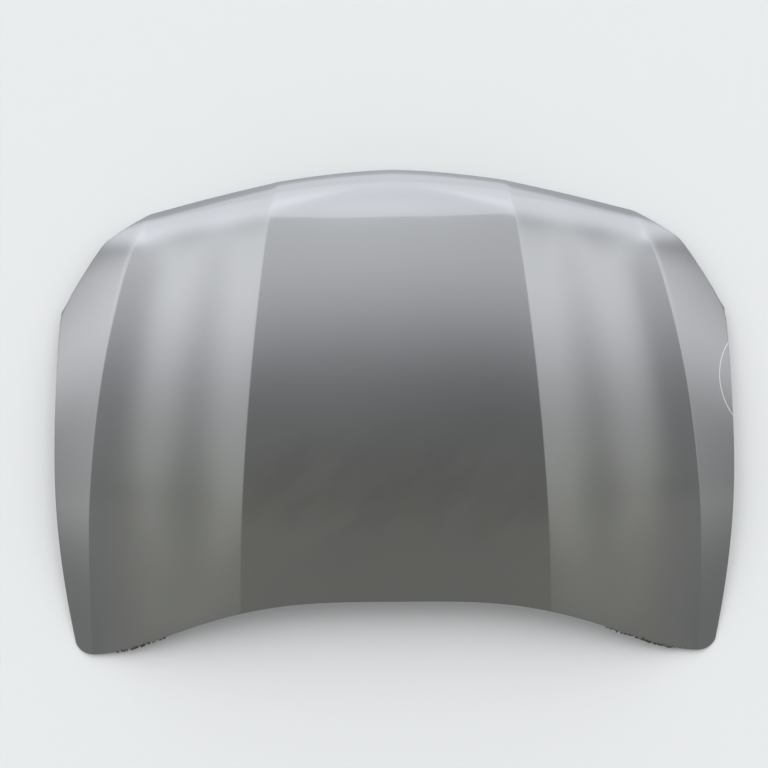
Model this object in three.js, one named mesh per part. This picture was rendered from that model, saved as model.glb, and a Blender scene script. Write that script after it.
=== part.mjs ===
import * as THREE from 'three';

// A car bonnet lying skin upwards on its rim, in millimetres.
// X runs across the car, +Y towards the nose and +Z up; Z = 0 is the plane that the rim rests on.

// Outline seen from above
const LENGTH = 1064;
const HALF_WIDTH = 737;
const NOSE_SWEEP = 90;
const NOSE_SWEEP_POWER = 1.6;
const NOSE_CORNER_IN = 187;
const LAMP_TOP_IN = 94;
const LAMP_TOP_BACK = 161;
const LAMP_FOOT_BACK = 321;
const REAR_ARCH = 119;
const REAR_ARCH_POWER = 1.75;
const REAR_TAPER = 51;
const REAR_TAPER_POWER = 3.1;
const REAR_CORNER_RADIUS = 34;

// Crease lines of the pressing
const INNER_CREASE_REAR = 321;
const INNER_CREASE_NOSE = 252;
const INNER_CREASE_POWER = 1.65;
const OUTER_CREASE_IN = 85;
const OUTER_CREASE_POWER = 2.3;

// Heights of the pressing
const CROWN_RADIUS = 3000;
const CROWN_FORWARD = 17;
const DOME_DROP = 9;
const SHOULDER_DROP = 46;
const REAR_SHOULDER_DROP = 17;
const DEEPER_BEHIND = 150;
const CREASE_SLOPE = 0.27;
const CREASE_FADE_START = 32;
const CREASE_FADE_LENGTH = 350;
const CREASE_FADE_LEAST = 0.45;
const SHOULDER_EDGE_SLOPE = 0.045;
const SHOULDER_WAVE = 0.035;
const FLANK_SLOPE = 0.22;
const FLANK_BEND = 0.0006;
const NOSE_ROLL = 55;
const NOSE_CORNER_ROLL = 41.5;
const ROLL_LENGTH = 170;

// Sheet thicknesses, the folded hem and the gaps between pieces
const SKIN_THICKNESS = 0.8;
const FRAME_THICKNESS = 0.7;
const GAP = 0.3;
const HEM_WIDTH = 12;
const HEM_BAND = 14;

// Stamped inner frame
const FRAME_DEPTH = 26;
const RIM_FRAME_DEPTH = 3;
const FULL_DEPTH_FROM = 66;
const RIM_DEPTH_UP_TO = 6;
const WALL_RUN = 12;
const WALL_SHIFT = 0.385;
const LAND_WIDTH = 12;
const LAND_DEPTH = 3.4;
const POCKET_RADIUS = 34;
const REAR_RIM = 85;
const FRONT_RIM = 100;
const SIDE_RIM = 80;
const LATCH_ZONE = 160;
const CROSS_RIB_WIDTH = 70;
const SPINE_WIDTH = 66;
const SPINE_IN = 50;
const SPINE_LATCH_X = 128;
const HINGE_CLEARANCE = 26;
const POCKET_BEND_SHARE = 0.45;
const POCKET_CHAMFER = 30;
const CHAMFER_RISE = 20;

// Hinge seats, with their plates and weld nuts
const HINGE_IN = 94;
const HINGE_FORWARD = 112;
const HINGE_PAD_LENGTH = 92;
const HINGE_PAD_WIDTH = 42;
const HINGE_PAD_SINK = 22;
const HINGE_HOLE = 11;
const HINGE_HOLE_SPACING = 52;
const PAD_SLOPE_RUN = 9;
const PLATE_THICKNESS = 2;
const PLATE_MARGIN = 4;
const NUT_WIDTH = 14;
const NUT_HEIGHT = 6.5;
const NUT_BORE = 8.4;

// Latch seat with the striker
const LATCH_BACK = 90;
const LATCH_PAD_WIDTH = 116;
const LATCH_PAD_LENGTH = 46;
const LATCH_PAD_SINK = 28;
const STRIKER_HOLE_SPACING = 72;
const STRIKER_HOLE = 9;
const STRIKER_PLATE_THICKNESS = 3;
const STRIKER_WIRE = 8;
const STRIKER_WIDTH = 34;
const STRIKER_DROP = 38;
const STRIKER_BEND = 11;
const STRIKER_PLATE_INSET = 3;
const STRIKER_PLATE_CORNER = 8;
const BOLT_HEAD_WIDTH = 13;
const BOLT_HEAD_HEIGHT = 5.5;
const BOLT_CHAMFER = 1;
const BOLT_SHANK = 8;
const BOLT_TIP = 6;

// Rubber buffers under the front edge and the sides
const BUFFER_HOLE = 9;
const BUFFER_PAD_RADIUS = 17;
const BUFFER_SEAT_SINK = 1;
const FRONT_BUFFER_IN = 96;
const FRONT_BUFFER_BACK = 62;
const SIDE_BUFFER_OUT = 26;
const SIDE_BUFFER_FORWARD = 150;
const BUFFER_HEIGHT = 13;
const BUFFER_RADIUS = 12;
const BUFFER_BRIM = 3;
const BUFFER_FOOT_RADIUS = 8.5;
const BUFFER_FOOT_ROUND = 1.8;
const BUFFER_BARB = 1.6;
const BUFFER_BARB_HEIGHT = 5;
const BUFFER_TIP_RADIUS = 2.5;

// Mastic pads between the frame and the skin
const MASTIC_LENGTH = 26;
const MASTIC_WIDTH = 8;
const LOOK_FROM = { above: 1.6, below: 0.5 };

// Mesh density
const DOME_CELLS = 4;
const SHOULDER_CELLS = 10;
const FLANK_CELLS = 6;
const ROWS = 18;
const ROW_CROWDING = 1.35;
const SIDE_STEPS = 4;
const CORNER_STEPS = 3;
const ROUND_STEPS = 12;

const NOSE_Y = LENGTH / 2;
const REAR_Y = -LENGTH / 2;
const REAR_CENTRE_Y = REAR_Y + REAR_ARCH;
const NOSE_CORNER_X = HALF_WIDTH - NOSE_CORNER_IN;
const NOSE_CORNER_Y = NOSE_Y - NOSE_SWEEP;
const REAR_CORNER_X = HALF_WIDTH - REAR_TAPER;
const REAR_TURN_X = REAR_CORNER_X - REAR_CORNER_RADIUS;
const LAMP_FOOT_Y = NOSE_Y - LAMP_FOOT_BACK;
const OUTER_CREASE_REAR = HALF_WIDTH - OUTER_CREASE_IN;

const plan = (x, y) => new THREE.Vector2(x, y);
const mix = THREE.MathUtils.lerp;
const ease = (t) => THREE.MathUtils.smoothstep(t, 0, 1);

// Outline and crease curves, as functions of the distance from the centre line or along the car

function noseEdgeY(x) {
  const t = Math.min(x, NOSE_CORNER_X) / NOSE_CORNER_X;
  return NOSE_Y - NOSE_SWEEP * t ** NOSE_SWEEP_POWER;
}

function rearEdgeY(x) {
  const t = Math.min(x / REAR_TURN_X, 1);
  return REAR_CENTRE_Y - REAR_ARCH * ease(t ** REAR_ARCH_POWER);
}

function sideEdgeX(y) {
  const t = Math.max((LAMP_FOOT_Y - y) / (LAMP_FOOT_Y - REAR_Y), 0);
  return HALF_WIDTH - REAR_TAPER * t ** REAR_TAPER_POWER;
}

function innerCreaseX(y) {
  const t = Math.max((y - REAR_CENTRE_Y) / (NOSE_Y - REAR_CENTRE_Y), 0);
  return mix(INNER_CREASE_REAR, INNER_CREASE_NOSE, t ** INNER_CREASE_POWER);
}

function outerCreaseX(y) {
  const t = Math.max((y - REAR_CENTRE_Y) / (NOSE_CORNER_Y - REAR_CENTRE_Y), 0);
  return mix(OUTER_CREASE_REAR, NOSE_CORNER_X, t ** OUTER_CREASE_POWER);
}

// Height of the pressing over the plan

function noseRoll(x, y) {
  const behind = noseEdgeY(x) - y;
  const t = Math.max(1 - behind / ROLL_LENGTH, 0);
  return mix(NOSE_ROLL, NOSE_CORNER_ROLL, ease(x / NOSE_CORNER_X)) * t ** 3;
}

function shoulderDrop(y) {
  const towardsRear = (y + DEEPER_BEHIND) / (REAR_Y + DEEPER_BEHIND);
  return SHOULDER_DROP + REAR_SHOULDER_DROP * ease(towardsRear);
}

function sideDrop(x, y) {
  const inner = innerCreaseX(y);
  if (x <= inner) {
    return DOME_DROP * (x / inner) ** 2;
  }
  const width = outerCreaseX(y) - inner;
  const t = Math.min((x - inner) / width, 1);
  const domeSlope = (2 * DOME_DROP) / inner;
  const fade = mix(CREASE_FADE_LEAST, 1, ease((y - REAR_Y - CREASE_FADE_START) / CREASE_FADE_LENGTH));
  const startSlope = mix(domeSlope, CREASE_SLOPE, fade);
  const cubic = shoulderDrop(y) * t * t * (3 - 2 * t);
  const slopes = width * (startSlope * t * (1 - t) ** 2 - SHOULDER_EDGE_SLOPE * t * t * (1 - t));
  const wave = ((SHOULDER_WAVE * width) / (2 * Math.PI)) * (Math.cos(2 * Math.PI * t) - 1);
  const flank = Math.max(x - inner - width, 0);
  return DOME_DROP + cubic + slopes + wave + FLANK_SLOPE * flank + FLANK_BEND * flank ** 2;
}

let restLift = 0;

function skinHeight(x, y) {
  const across = Math.abs(x);
  const crown = (y - CROWN_FORWARD) ** 2 / (2 * CROWN_RADIUS);
  return restLift - crown - noseRoll(across, y) - sideDrop(across, y);
}

function onSkin(p) {
  return new THREE.Vector3(p.x, p.y, skinHeight(p.x, p.y));
}

function skinNormal(p) {
  const step = 0.5;
  const dx = (skinHeight(p.x + step, p.y) - skinHeight(p.x - step, p.y)) / (2 * step);
  const dy = (skinHeight(p.x, p.y + step) - skinHeight(p.x, p.y - step)) / (2 * step);
  return new THREE.Vector3(-dx, -dy, 1).normalize();
}

// Stations on the rim: one row of them along the rear and one along the front, from left to right,
// and one up each side

const HALF_CELLS = DOME_CELLS + SHOULDER_CELLS + FLANK_CELLS;

function rearStation(cell) {
  if (cell <= DOME_CELLS) {
    const x = (innerCreaseX(REAR_CENTRE_Y) * cell) / DOME_CELLS;
    return plan(x, rearEdgeY(x));
  }
  if (cell <= DOME_CELLS + SHOULDER_CELLS) {
    const t = (cell - DOME_CELLS) / SHOULDER_CELLS;
    const x = mix(innerCreaseX(REAR_CENTRE_Y), REAR_TURN_X, t);
    return plan(x, rearEdgeY(x));
  }
  const centreY = REAR_Y + REAR_CORNER_RADIUS;
  const reach = sideEdgeX(centreY) - REAR_TURN_X;
  const turn = new THREE.EllipseCurve(REAR_TURN_X, centreY, reach, REAR_CORNER_RADIUS, -Math.PI / 2, 0);
  return turn.getPoint((cell - DOME_CELLS - SHOULDER_CELLS) / FLANK_CELLS);
}

function frontStation(cell) {
  if (cell <= DOME_CELLS) {
    const x = (innerCreaseX(noseEdgeY(INNER_CREASE_NOSE)) * cell) / DOME_CELLS;
    return plan(x, noseEdgeY(x));
  }
  if (cell <= DOME_CELLS + SHOULDER_CELLS) {
    const t = (cell - DOME_CELLS) / SHOULDER_CELLS;
    const x = mix(innerCreaseX(noseEdgeY(INNER_CREASE_NOSE)), NOSE_CORNER_X, t);
    return plan(x, noseEdgeY(x));
  }
  const corner = plan(NOSE_CORNER_X, NOSE_CORNER_Y);
  const top = plan(HALF_WIDTH - LAMP_TOP_IN, NOSE_Y - LAMP_TOP_BACK);
  const foot = plan(sideEdgeX(LAMP_FOOT_Y), LAMP_FOOT_Y);
  const t = (2 * (cell - DOME_CELLS - SHOULDER_CELLS)) / FLANK_CELLS;
  return t <= 1 ? corner.lerp(top, t) : top.lerp(foot, t - 1);
}

function rowShare(row) {
  return 1 - (1 - row / ROWS) ** ROW_CROWDING;
}

function sideStation(row) {
  const y = mix(rearStation(HALF_CELLS).y, LAMP_FOOT_Y, rowShare(row));
  return plan(sideEdgeX(y), y);
}

function mirrored(p) {
  return plan(-p.x, p.y);
}

// The rim as one loop, anticlockwise from the left end of the rear edge
function rimLoop() {
  const loop = [];
  for (let c = -HALF_CELLS; c < HALF_CELLS; c += 1) {
    loop.push(c < 0 ? mirrored(rearStation(-c)) : rearStation(c));
  }
  for (let r = 0; r < ROWS; r += 1) {
    loop.push(sideStation(r));
  }
  for (let c = HALF_CELLS; c > -HALF_CELLS; c -= 1) {
    loop.push(c < 0 ? mirrored(frontStation(-c)) : frontStation(c));
  }
  for (let r = ROWS; r > 0; r -= 1) {
    loop.push(mirrored(sideStation(r)));
  }
  return loop;
}

// Moves every point of an anticlockwise loop inwards, square to both of its sides
function inset(loop, distance) {
  return loop.map((p, k) => {
    const before = loop[(k + loop.length - 1) % loop.length];
    const after = loop[(k + 1) % loop.length];
    const a = p.clone().sub(before).normalize();
    const b = after.clone().sub(p).normalize();
    const sum = plan(-a.y - b.y, a.x + b.x);
    const square = 1 + a.dot(b);
    return p.clone().addScaledVector(sum, distance / square);
  });
}

const rim = rimLoop();
const band = inset(rim, HEM_BAND);

// A loop in the flat band along the rim, at a depth square to the skin
function bandLoop(distance, depth) {
  return rim.map((p, k) => {
    const t = distance / HEM_BAND;
    const at = onSkin(p).lerp(onSkin(band[k]), t);
    const normal = skinNormal(p).lerp(skinNormal(band[k]), t).normalize();
    return at.addScaledVector(normal, -depth);
  });
}

const SLOT_DEPTH = SKIN_THICKNESS + FRAME_THICKNESS + 2 * GAP;
const HEM_DEPTH = SLOT_DEPTH + SKIN_THICKNESS;
const FOLD = SKIN_THICKNESS + 0.5;

// The rim's lowest points touch Z = 0
restLift = -Math.min(...bandLoop(0, HEM_DEPTH).map((p) => p.z));

// Points on a straight side are moved off it by a hair, since a filled face drops those exactly on it
function offLine(p, k) {
  return plan(p.x + 1e-5 * Math.sin(7 * k), p.y + 1e-5 * Math.cos(5 * k));
}

function cornerAngle(at, p, q) {
  return Math.abs(p.clone().sub(at).angleTo(q.clone().sub(at)));
}

function turn(p, q, r) {
  return q.clone().sub(p).cross(r.clone().sub(p));
}

// Turns the edge that two triangles share, over and over, wherever that makes them less thin
function evenOut(points, triangles) {
  const total = triangles.reduce((sum, [a, b, c]) => sum + turn(points[a], points[b], points[c]), 0);
  const list = triangles.map(([a, b, c]) => (total > 0 ? [a, b, c] : [a, c, b]));
  for (let pass = 0; pass < 60; pass += 1) {
    const owners = new Map();
    let turned = false;
    list.forEach((triangle, t) => {
      triangle.forEach((a, k) => owners.set(`${a},${triangle[(k + 1) % 3]}`, { t, far: triangle[(k + 2) % 3] }));
    });
    const touched = new Set();
    owners.forEach((mine, edge) => {
      const [a, b] = edge.split(',').map(Number);
      const other = owners.get(`${b},${a}`);
      if (a > b || !other || touched.has(mine.t) || touched.has(other.t)) {
        return;
      }
      const [p, q, r, s] = [a, b, mine.far, other.far].map((k) => points[k]);
      const facing = cornerAngle(r, p, q) + cornerAngle(s, p, q);
      if (facing > Math.PI + 1e-6 && turn(r, p, s) > 1e-6 && turn(s, q, r) > 1e-6) {
        list[mine.t] = [mine.far, a, other.far];
        list[other.t] = [other.far, b, mine.far];
        touched.add(mine.t).add(other.t);
        turned = true;
      }
    });
    if (!turned) {
      break;
    }
  }
  return list;
}

// A closed body made from loops of vertices and the faces between them
class Body {
  constructor() {
    this.vertices = [];
    this.faces = [];
  }

  loop(points) {
    return points.map((p) => this.vertices.push(p) - 1);
  }

  flat(loop) {
    return loop.map((k) => plan(this.vertices[k].x, this.vertices[k].y));
  }

  // Faces between two loops of equal length; they face up where the second lies inside the first.
  // Each square is split the same way whichever loop comes first, so that sheets stay parallel.
  strip(from, to) {
    const outwards = THREE.ShapeUtils.area(this.flat(to)) > THREE.ShapeUtils.area(this.flat(from));
    from.forEach((a, k) => {
      const next = (k + 1) % from.length;
      const [b, c, d] = [from[next], to[next], to[k]];
      this.faces.push(...(outwards ? [[a, b, d], [b, c, d]] : [[a, b, c], [a, c, d]]));
    });
  }

  strips(loops) {
    loops.slice(1).forEach((loop, k) => this.strip(loops[k], loop));
  }

  // A face filled between an outer loop and the holes in it
  fill(outer, holes, facesUp) {
    const order = [outer, ...holes].flat();
    const loops = [outer, ...holes].map((loop) => this.flat(loop).map(offLine));
    const triangles = THREE.ShapeUtils.triangulateShape(loops[0], loops.slice(1));
    evenOut(this.flat(order), triangles).forEach(([a, b, c]) => {
      this.faces.push(facesUp ? [order[a], order[b], order[c]] : [order[a], order[c], order[b]]);
    });
  }

  geometry() {
    const geometry = new THREE.BufferGeometry();
    const corners = this.faces.flat().flatMap((k) => this.vertices[k].toArray());
    geometry.setAttribute('position', new THREE.Float32BufferAttribute(corners, 3));
    geometry.computeVertexNormals();
    return geometry;
  }
}

// Grid of the skin inside the band along the rim: columns follow the crease lines

const COLUMNS = 2 * HALF_CELLS;

function bandAtRear(column) {
  return band[column];
}

function bandAtFront(column) {
  return band[COLUMNS + ROWS + (COLUMNS - column)];
}

function bandAtSide(row) {
  return band[COLUMNS + row];
}

function guidePoint(cell, share) {
  const column = HALF_CELLS + cell;
  const y = mix(bandAtRear(column).y, bandAtFront(column).y, share);
  const inner = cell <= DOME_CELLS;
  return plan(cell === 0 ? 0 : inner ? innerCreaseX(y) : outerCreaseX(y), y);
}

const PANELS = [
  { first: 0, cells: DOME_CELLS },
  { first: DOME_CELLS, cells: SHOULDER_CELLS },
  { first: DOME_CELLS + SHOULDER_CELLS, cells: FLANK_CELLS },
];

function panelEdge(cell, row) {
  return cell === HALF_CELLS ? bandAtSide(row) : guidePoint(cell, rowShare(row));
}

function gridPoint(cell, row) {
  if (cell < 0) {
    return mirrored(gridPoint(-cell, row));
  }
  const column = HALF_CELLS + cell;
  if (row === 0) {
    return bandAtRear(column);
  }
  if (row === ROWS) {
    return bandAtFront(column);
  }
  const panel = PANELS.findLast(({ first }) => cell >= first && first < HALF_CELLS);
  const share = rowShare(row);
  const across = (cell - panel.first) / panel.cells;
  const between = (r) => panelEdge(panel.first, r).clone().lerp(panelEdge(panel.first + panel.cells, r), across);
  const rearShift = bandAtRear(column).clone().sub(between(0));
  const frontShift = bandAtFront(column).clone().sub(between(ROWS));
  return between(row).addScaledVector(rearShift, 1 - share).addScaledVector(frontShift, share);
}

function buildOuterSkin() {
  const body = new Body();
  const sheets = [0, SKIN_THICKNESS].map((depth) => {
    const grid = [];
    for (let r = 0; r <= ROWS; r += 1) {
      const line = [];
      for (let c = -HALF_CELLS; c <= HALF_CELLS; c += 1) {
        const p = gridPoint(c, r);
        line.push(body.vertices.push(onSkin(p).addScaledVector(skinNormal(p), -depth)) - 1);
      }
      grid.push(line);
    }
    return grid;
  });
  sheets.forEach((grid, side) => {
    for (let r = 0; r < ROWS; r += 1) {
      for (let c = 0; c < COLUMNS; c += 1) {
        const [a, b] = [grid[r][c], grid[r][c + 1]];
        const [d, e] = [grid[r + 1][c], grid[r + 1][c + 1]];
        const leftHalf = c < HALF_CELLS;
        const up = leftHalf ? [[a, b, e], [a, e, d]] : [[a, b, d], [b, e, d]];
        body.faces.push(...(side === 0 ? up : up.map(([i, j, k]) => [i, k, j])));
      }
    }
  });
  const border = (grid) => [
    ...grid[0].slice(0, -1),
    ...grid.slice(0, -1).map((line) => line[COLUMNS]),
    ...grid[ROWS].slice(1).reverse(),
    ...grid.slice(1).reverse().map((line) => line[0]),
  ];
  body.strips([
    border(sheets[1]),
    body.loop(bandLoop(FOLD, SKIN_THICKNESS)),
    body.loop(bandLoop(FOLD, SLOT_DEPTH)),
    body.loop(bandLoop(HEM_WIDTH, SLOT_DEPTH)),
    body.loop(bandLoop(HEM_WIDTH, HEM_DEPTH)),
    body.loop(bandLoop(0, HEM_DEPTH)),
    body.loop(bandLoop(0, 0)),
    border(sheets[0]),
  ]);
  return body.geometry();
}

// Stamped inner frame

function floorHeight(p) {
  const skin = skinHeight(p.x, p.y);
  return skin - mix(RIM_FRAME_DEPTH, FRAME_DEPTH, ease((skin - RIM_DEPTH_UP_TO) / (FULL_DEPTH_FROM - RIM_DEPTH_UP_TO)));
}

function spineX(y) {
  const bendY = bayRows()[2].from;
  const along = (y - bendY) / (bayRows()[2].to - bendY);
  return mix(innerCreaseX(y) - SPINE_IN, SPINE_LATCH_X, Math.max(along, 0));
}

// The three rows of pockets between the rear rim and the latch zone, on the centre line
function bayRows() {
  const from = REAR_CENTRE_Y + REAR_RIM;
  const to = NOSE_Y - LATCH_ZONE;
  const depth = (to - from - 2 * CROSS_RIB_WIDTH) / 3;
  return [0, 1, 2].map((k) => {
    const start = from + k * (depth + CROSS_RIB_WIDTH);
    return { from: start, to: start + depth };
  });
}

function centreBay({ from, to }) {
  const half = (y) => spineX(y) - SPINE_WIDTH / 2;
  return [plan(-half(from), from), plan(half(from), from), plan(half(to), to), plan(-half(to), to)];
}

const outerBays = {
  rear({ to }) {
    const innerX = spineX(to) + SPINE_WIDTH / 2;
    const hinge = hingeSeat();
    const besideHinge = hinge.x - HINGE_PAD_WIDTH / 2 - PAD_SLOPE_RUN - HINGE_CLEARANCE;
    const chamferX = besideHinge - POCKET_CHAMFER;
    const aheadOfHinge = hinge.y + HINGE_PAD_LENGTH / 2;
    const outerX = outerCreaseX(to) - SIDE_RIM;
    return [
      plan(innerX, rearEdgeY(innerX) + REAR_RIM),
      plan(chamferX, rearEdgeY(chamferX) + REAR_RIM),
      plan(besideHinge, aheadOfHinge - CHAMFER_RISE),
      plan(outerX, mix(aheadOfHinge, to, POCKET_BEND_SHARE)),
      plan(outerX, to),
      plan(innerX, to),
    ];
  },
  middle({ from, to }) {
    return [
      plan(spineX(from) + SPINE_WIDTH / 2, from),
      plan(outerCreaseX(from) - SIDE_RIM, from),
      plan(outerCreaseX(to) - SIDE_RIM, to),
      plan(spineX(to) + SPINE_WIDTH / 2, to),
    ];
  },
  front({ from, to }) {
    const outerX = outerCreaseX(to) - SIDE_RIM;
    const innerX = spineX(to) + SPINE_WIDTH / 2;
    return [
      plan(spineX(from) + SPINE_WIDTH / 2, from),
      plan(outerCreaseX(from) - SIDE_RIM, from),
      plan(outerX, noseEdgeY(outerX) - FRONT_RIM - POCKET_CHAMFER),
      plan(outerX - 2 * POCKET_CHAMFER, noseEdgeY(outerX - 2 * POCKET_CHAMFER) - FRONT_RIM),
      plan(innerX, noseEdgeY(innerX) - FRONT_RIM - CHAMFER_RISE),
    ];
  },
};

// Every pocket of the frame, as an anticlockwise outline with its name
function pockets() {
  const rows = bayRows();
  const names = ['rear', 'middle', 'front'];
  return names.flatMap((name, k) => {
    const right = outerBays[name](rows[k]);
    const left = right.map(mirrored).reverse();
    return [
      { name: `centre_${name}`, corners: centreBay(rows[k]) },
      { name: `left_${name}`, corners: left },
      { name: `right_${name}`, corners: right },
    ];
  });
}

// Rounds the corners of an outline that has been moved inwards, with the same count of points each time
function roundedLoop(corners, distance, radius, sideSteps = SIDE_STEPS) {
  const moved = inset(corners, distance);
  const loop = [];
  moved.forEach((corner, k) => {
    const before = moved[(k + moved.length - 1) % moved.length];
    const after = moved[(k + 1) % moved.length];
    const reach = Math.min(radius, corner.distanceTo(before) * 0.45, corner.distanceTo(after) * 0.45);
    const start = corner.clone().add(before.clone().sub(corner).setLength(reach));
    const end = corner.clone().add(after.clone().sub(corner).setLength(reach));
    const turn = new THREE.QuadraticBezierCurve(start, corner, end);
    loop.push(...turn.getPoints(CORNER_STEPS));
    const nextReach = Math.min(radius, corner.distanceTo(after) * 0.45);
    const sideEnd = after.clone().add(corner.clone().sub(after).setLength(nextReach));
    for (let s = 1; s < sideSteps; s += 1) {
      loop.push(end.clone().lerp(sideEnd, s / sideSteps));
    }
  });
  return loop;
}

function lower(points, depth) {
  return points.map((p) => new THREE.Vector3(p.x, p.y, p.z - depth));
}

function atHeight(loop, height) {
  return loop.map((p) => new THREE.Vector3(p.x, p.y, height(p)));
}

const landHeight = (p) => skinHeight(p.x, p.y) - LAND_DEPTH;

function addPocket(body, corners) {
  const loops = (distance, height) => atHeight(roundedLoop(corners, distance, POCKET_RADIUS), height);
  const foot = body.loop(loops(0, floorHeight));
  const shoulder = body.loop(loops(WALL_RUN, landHeight));
  const edge = body.loop(loops(WALL_RUN + LAND_WIDTH, landHeight));
  const underEdge = body.loop(lower(loops(WALL_RUN + LAND_WIDTH, landHeight), FRAME_THICKNESS));
  const underShoulder = body.loop(lower(loops(WALL_RUN + WALL_SHIFT, landHeight), FRAME_THICKNESS));
  const underFoot = body.loop(lower(loops(WALL_SHIFT, floorHeight), FRAME_THICKNESS));
  body.strips([foot, shoulder, edge, underEdge, underShoulder, underFoot]);
  return { top: foot, under: underFoot };
}

function circleLoop(centre, radius, count) {
  return Array.from({ length: count }, (_, k) => {
    const angle = (2 * Math.PI * k) / count;
    return plan(centre.x + radius * Math.cos(angle), centre.y + radius * Math.sin(angle));
  });
}

// A level seat pressed into the floor, with round holes through it
function addSeat(body, outline, widen, level, holes) {
  const slopeTop = atHeight(widen(PAD_SLOPE_RUN), floorHeight);
  const slopeFoot = atHeight(outline, () => level);
  const rim = body.loop(slopeTop);
  const top = body.loop(slopeFoot);
  const under = body.loop(lower(slopeFoot, FRAME_THICKNESS));
  const underRim = body.loop(lower(slopeTop, FRAME_THICKNESS));
  const holeTops = holes.map((hole) => body.loop(atHeight(hole, () => level)));
  const holeFeet = holes.map((hole) => body.loop(atHeight(hole, () => level - FRAME_THICKNESS)));
  body.strip(rim, top);
  body.strip(under, underRim);
  holeTops.forEach((hole, k) => body.strip(hole, holeFeet[k]));
  body.fill(top, holeTops, true);
  body.fill(under, holeFeet, false);
  return { top: rim, under: underRim };
}

function rectangle(centre, width, length) {
  const [w, l] = [width / 2, length / 2];
  return [[-w, -l], [w, -l], [w, l], [-w, l]].map(([dx, dy]) => plan(centre.x + dx, centre.y + dy));
}

function rectangleSeat(body, centre, width, length, level, holes) {
  const corners = rectangle(centre, width, length);
  const widen = (distance) => roundedLoop(corners, -distance, PAD_SLOPE_RUN);
  return addSeat(body, widen(0), widen, level, holes);
}

function roundSeat(body, centre, level) {
  const widen = (distance) => circleLoop(centre, BUFFER_PAD_RADIUS + distance, ROUND_STEPS);
  return addSeat(body, widen(0), widen, level, [circleLoop(centre, BUFFER_HOLE / 2, ROUND_STEPS)]);
}

function hingeSeat() {
  const x = OUTER_CREASE_REAR - HINGE_IN;
  return plan(x, rearEdgeY(x) + HINGE_FORWARD);
}

function hingeLevel() {
  const seat = hingeSeat();
  return skinHeight(seat.x, seat.y) - HINGE_PAD_SINK;
}

function hingeHoles(centre) {
  return [-1, 1].map((end) => plan(centre.x, centre.y + (end * HINGE_HOLE_SPACING) / 2));
}

const latchSeat = plan(0, NOSE_Y - LATCH_BACK);
const latchLevel = () => skinHeight(0, latchSeat.y) - LATCH_PAD_SINK;

function strikerHoles() {
  return [-1, 1].map((side) => plan((side * STRIKER_HOLE_SPACING) / 2, latchSeat.y));
}

function bufferSeats() {
  const frontX = NOSE_CORNER_X - FRONT_BUFFER_IN;
  const front = plan(frontX, noseEdgeY(frontX) - FRONT_BUFFER_BACK);
  const side = plan(outerCreaseX(SIDE_BUFFER_FORWARD) + SIDE_BUFFER_OUT, SIDE_BUFFER_FORWARD);
  return [
    { name: 'front_left', at: mirrored(front) },
    { name: 'front_right', at: front },
    { name: 'side_left', at: mirrored(side) },
    { name: 'side_right', at: side },
  ];
}

function bufferLevel(at) {
  return floorHeight(at) - BUFFER_SEAT_SINK;
}

function buildInnerFrame() {
  const body = new Body();
  const frameTop = SKIN_THICKNESS + GAP;
  const frameUnder = frameTop + FRAME_THICKNESS;
  const edge = FOLD + GAP;
  const floorLoop = (distance) => atHeight(inset(rim, distance), floorHeight);
  const floorRim = body.loop(floorLoop(HEM_BAND + WALL_RUN));
  const floorUnder = body.loop(lower(floorLoop(HEM_BAND + WALL_RUN - WALL_SHIFT), FRAME_THICKNESS));
  body.strips([
    floorUnder,
    body.loop(bandLoop(HEM_BAND - WALL_SHIFT, frameUnder)),
    body.loop(bandLoop(edge, frameUnder)),
    body.loop(bandLoop(edge, frameTop)),
    body.loop(bandLoop(HEM_BAND, frameTop)),
    floorRim,
  ]);
  const openings = pockets().map(({ corners }) => addPocket(body, corners));
  [hingeSeat(), mirrored(hingeSeat())].forEach((centre) => {
    const holes = hingeHoles(centre).map((p) => circleLoop(p, HINGE_HOLE / 2, ROUND_STEPS));
    openings.push(rectangleSeat(body, centre, HINGE_PAD_WIDTH, HINGE_PAD_LENGTH, hingeLevel(), holes));
  });
  const strikerLoops = strikerHoles().map((p) => circleLoop(p, STRIKER_HOLE / 2, ROUND_STEPS));
  openings.push(
    rectangleSeat(body, latchSeat, LATCH_PAD_WIDTH, LATCH_PAD_LENGTH, latchLevel(), strikerLoops));
  bufferSeats().forEach(({ at }) => openings.push(roundSeat(body, at, bufferLevel(at))));
  body.fill(floorRim, openings.map(({ top }) => top), true);
  body.fill(floorUnder, openings.map(({ under }) => under), false);
  return body.geometry();
}

// Materials

function material(color, roughness, metalness) {
  return new THREE.MeshStandardMaterial({ color, roughness, metalness });
}

const paint = () => material(0x5a5d5e, 0.3, 0.6);
const bareSteel = () => material(0x8c8f90, 0.45, 0.9);
const zincSteel = () => material(0xb4b19c, 0.4, 0.9);
const blackRubber = () => material(0x1c1c1d, 0.85, 0);
const greyMastic = () => material(0x9b9a92, 0.9, 0);

const group = new THREE.Group();

function add(name, geometry, itsMaterial) {
  const mesh = new THREE.Mesh(geometry, itsMaterial);
  mesh.name = name;
  group.add(mesh);
  return mesh;
}

function circlePath(centre, radius) {
  const path = new THREE.Path();
  path.setFromPoints(circleLoop(centre, radius, ROUND_STEPS).reverse());
  return path;
}

function slab(outline, holes, thickness) {
  const shape = new THREE.Shape(outline);
  shape.holes = holes;
  return new THREE.ExtrudeGeometry(shape, { depth: thickness, bevelEnabled: false, curveSegments: 1 });
}

function hexagon(across) {
  return Array.from({ length: 6 }, (_, k) => {
    const angle = (Math.PI / 3) * k;
    return plan((across / Math.sqrt(3)) * Math.cos(angle), (across / Math.sqrt(3)) * Math.sin(angle));
  });
}

// Hinge plates and their weld nuts, above the hinge seats

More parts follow.
